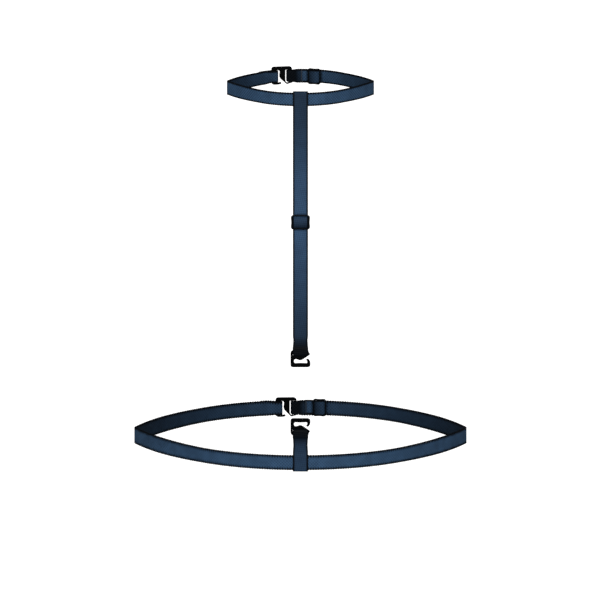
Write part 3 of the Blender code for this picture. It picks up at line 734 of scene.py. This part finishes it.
def add_centre_slider():
    low, high = (np.array(corner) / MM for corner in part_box("centre_slider"))
    middle = (low + high) / 2
    length = high[2] - low[2]
    add_moulding(
        "centre_figure_eight", slider_outlines(length, STRAP_WIDTH + 1.8 + 2 * (PLY_GAP + 0.95), 1.8), middle, (0, 0, -1), (1, 0, 0),
        SLIDER_THICKNESS, 0.45, nylon, "centre_slider", "centre_slider",
    )
    route = crossing(length)
    keys = strap_keys(np.column_stack([middle[1] + route[:, 1], middle[2] + route[:, 0]]))
    made = add_ribbon(
        "centre_crossing_elastic", keys, (1, 0, 0), np.interp(np.abs(route[:, 0]), (4.0, 6.2), (5.75, 5.6)),
        CROSSING_THICKNESS, strap_elastic,
        relief=ribbed, cord_back_and_painted_shade=slider_painted_shade(route), out_sign=-1, cord=0.9,
    )
    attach(made, "centre_slider")
    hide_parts("centre_slider_crossing")


add_centre_slider()


def hanging_fold(plane, level, down, narrow):
    """Keys of a fold that fills the hook's slot, from the rear ply to the front one, and each one's half width.

    The strap spreads to the hook's rails as it nears the bar, and draws in at the open side where the slot slants.
    """
    radius, drop = 1.6, 2.6
    centre = level + down * (HOOK_BAR / 2 + drop)
    angle = np.linspace(-np.pi / 2, np.pi / 2, 9)
    turn = np.column_stack([plane - radius * np.sin(angle), centre + down * radius * np.cos(angle)])
    away = np.array([8.0, 3.0, 0.8])
    start = np.column_stack([plane + np.array([narrow[0], narrow[0], radius]), level - down * away])
    end = np.column_stack([plane - np.array([radius, narrow[1], narrow[1]]), level - down * away[::-1]])
    drawn_in = 0.45 * np.cos(angle) ** 2
    side = np.concatenate([np.zeros(3), -drawn_in, np.zeros(3)])
    spread = np.array([0.1, 0.35, 0.6])
    half = STRAP_WIDTH / 2 + np.concatenate([spread, 0.25 - drawn_in, spread[::-1]])
    return np.column_stack([side, np.vstack([start, turn, end])]), half


def add_centre_loop():
    low, high = (np.array(corner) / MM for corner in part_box("centre_loop"))
    hook_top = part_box("centre_hook")[1].z / MM
    fold, pinch = hanging_fold(HANG, hook_top, -1, (DOUBLE, DOUBLE))
    straight = np.linspace(high[2], hook_top + 11, 16)
    down = strap_keys(np.column_stack([np.full(16, HANG + DOUBLE), straight]))
    up = strap_keys(np.column_stack([np.full(16, HANG - DOUBLE), straight[::-1]]))
    keys = np.vstack([down, fold, up])
    half = np.concatenate([np.full(16, STRAP_HALF), pinch, np.full(16, STRAP_HALF)])
    made = add_ribbon(
        "centre_loop_elastic", keys, (1, 0, 0), half, STRAP_THICKNESS, strap_elastic,
        relief=ribbed, cord_back_and_painted_shade=strap_shade(keys[:, 2]), out_sign=-1,
    )
    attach(made, "centre_loop")
    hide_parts("centre_loop")
    out = HANG + DOUBLE + STRAP_THICKNESS / 2 + THREAD_RADIUS / 2
    keys = zigzag((-4.4, out, high[2] - 1.2), (4.4, out, high[2] - 1.2), (0, 0, 0.5), 12)
    add_thread("centre_loop_bartack", keys, "centre_loop", "centre_loop_seam")


add_centre_loop()


# ---- Tab ----------------------------------------------------------------------------------------------------------
# The same elastic, folded under the front of the waist band and round the upturned hook, its ends sewn together
# just above the band.


def add_tab():
    ring = RINGS["waist"]
    front_y = ring["middle"] - ring["deep"]
    reach = BAND_THICKNESS / 2 + PLY_GAP + STRAP_THICKNESS / 2
    low = ring["level"] - ring["width"] / 2 - 0.15
    cap = low - STRAP_THICKNESS / 2
    hook_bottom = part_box("tab_hook")[0].z / MM
    seam = ring["level"] + ring["width"] / 2 + 1.0
    fold, pinch = hanging_fold(front_y, hook_bottom, 1, (0.85, 0.85))
    rear = front_y + reach + 0.15
    front = front_y - reach
    under = [(rear, low + 0.9), (rear - 0.3, cap + 0.35), (rear - 0.95, cap)]
    under += [(front + 0.95, cap), (front + 0.3, cap + 0.35), (front, low + 0.9)]
    rise = [(front, ring["level"]), (front, ring["level"] + 5.0), (front_y - 0.9, seam + 1.5)]
    start = [(front_y + 0.9, seam + 1.2), (rear, ring["level"] + 5.0), (rear, ring["level"])]
    plain = strap_keys(start + under + rise)
    keys = np.vstack([fold[:1], plain, fold[::-1]])
    half = np.concatenate([pinch[:1], np.full(len(plain), STRAP_HALF), pinch[::-1]])
    # Painted shade: darker up the tab, darkest at its sewn top above the band, where it folds over.
    cord_back_and_painted_shade = np.interp(keys[:, 2], (-287, -276, -271, -268), (0.5, 0.62, 0.88, 1.0))
    made = add_ribbon(
        "tab_elastic", keys, (1, 0, 0), half, STRAP_THICKNESS, strap_elastic,
        relief=ribbed, cord_back_and_painted_shade=cord_back_and_painted_shade, out_sign=-1,
    )
    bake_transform(made)
    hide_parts("tab_wrap", "tab_strap")
    out = front_y + 1.5 + STRAP_THICKNESS / 2
    keys = zigzag((-4.4, out, seam - 0.4), (4.4, out, seam - 0.4), (0, 0, 0.5), 12)
    add_thread("tab_bartack", keys, "waist_loop", "tab_wrap_stitching")


add_tab()


# ---- Studio -------------------------------------------------------------------------------------------------------
# A plain pale floor well below the harness, soft boxes, and a long lens a little above.

ELEVATION = math.radians(12)
VIEW_WIDTH = 468.0
AIM = (-0.35, 0.0, -169.45)


def add_studio():
    made, tree, output = new_material("pale_floor")
    shader = add_node(tree, "ShaderNodeBsdfPrincipled", {"Base Color": linear("#F8F8F8"), "Roughness": 0.9})
    shader.inputs["Emission Color"].default_value = (1, 1, 1, 1)
    shader.inputs["Emission Strength"].default_value = 1.0
    tree.links.new(shader.outputs["BSDF"], output.inputs["Surface"])
    x, y = np.meshgrid(np.linspace(-30, 30, 3), np.linspace(-30, 30, 3))
    points = np.stack([x, y, np.full_like(x, -0.75)], axis=-1).reshape(-1, 3)
    index = np.arange(9).reshape(3, 3)
    faces = np.stack([index[:-1, :-1], index[:-1, 1:], index[1:, 1:], index[1:, :-1]], axis=-1).reshape(-1, 4)
    mesh = bpy.data.meshes.new("floor")
    mesh.from_pydata(points, [], faces.tolist())
    mesh.materials.append(made)
    floor = bpy.data.objects.new("floor", mesh)
    bpy.context.scene.collection.objects.link(floor)
    floor.visible_glossy = False
    floor.visible_diffuse = False

    world = bpy.data.worlds.new("studio")
    world.use_nodes = True
    bpy.context.scene.world = world
    tree = world.node_tree
    tree.nodes.clear()
    rays = add_node(tree, "ShaderNodeLightPath").outputs
    soft = add_node(tree, "ShaderNodeMapRange", {"Value": rays["Is Glossy Ray"], "To Min": 0.3, "To Max": 0.08})
    strength = add_node(
        tree, "ShaderNodeMapRange", {"Value": rays["Is Camera Ray"], "To Min": soft.outputs["Result"], "To Max": 1.05}
    ).outputs["Result"]
    back = add_node(tree, "ShaderNodeBackground", {"Color": (1, 1, 1, 1), "Strength": strength})
    output = add_node(tree, "ShaderNodeOutputWorld")
    tree.links.new(back.outputs["Background"], output.inputs["Surface"])

    middle = np.array(AIM) * MM
    boxes = [
        ("key", (-0.35, -1.2, 0.5), 0.7, 11.0),
        ("fill", (0.5, -1.2, 0.2), 0.7, 6.0),
        ("back", (0.1, 1.2, 0.6), 0.7, 5.0),
    ]
    for name, place, size, power in boxes:
        light = bpy.data.lights.new(name, "AREA")
        light.size = size
        light.energy = power
        lamp = bpy.data.objects.new(name, light)
        bpy.context.scene.collection.objects.link(lamp)
        lamp.location = middle + np.array(place)
        lamp.visible_glossy = name != "back"
        lamp.rotation_euler = Vector([-x for x in place]).to_track_quat("-Z", "Y").to_euler()


def add_camera():
    lens = bpy.data.cameras.new("camera")
    lens.type = "ORTHO"
    lens.ortho_scale = VIEW_WIDTH * MM
    camera = bpy.data.objects.new("camera", lens)
    bpy.context.scene.collection.objects.link(camera)
    heading = np.array([0, math.cos(ELEVATION), -math.sin(ELEVATION)])
    camera.location = np.array(AIM) * MM - 2.0 * heading
    camera.rotation_euler = (math.pi / 2 - ELEVATION, 0, 0)
    bpy.context.scene.camera = camera


add_studio()
add_camera()
bpy.context.scene.view_settings.view_transform = "Standard"
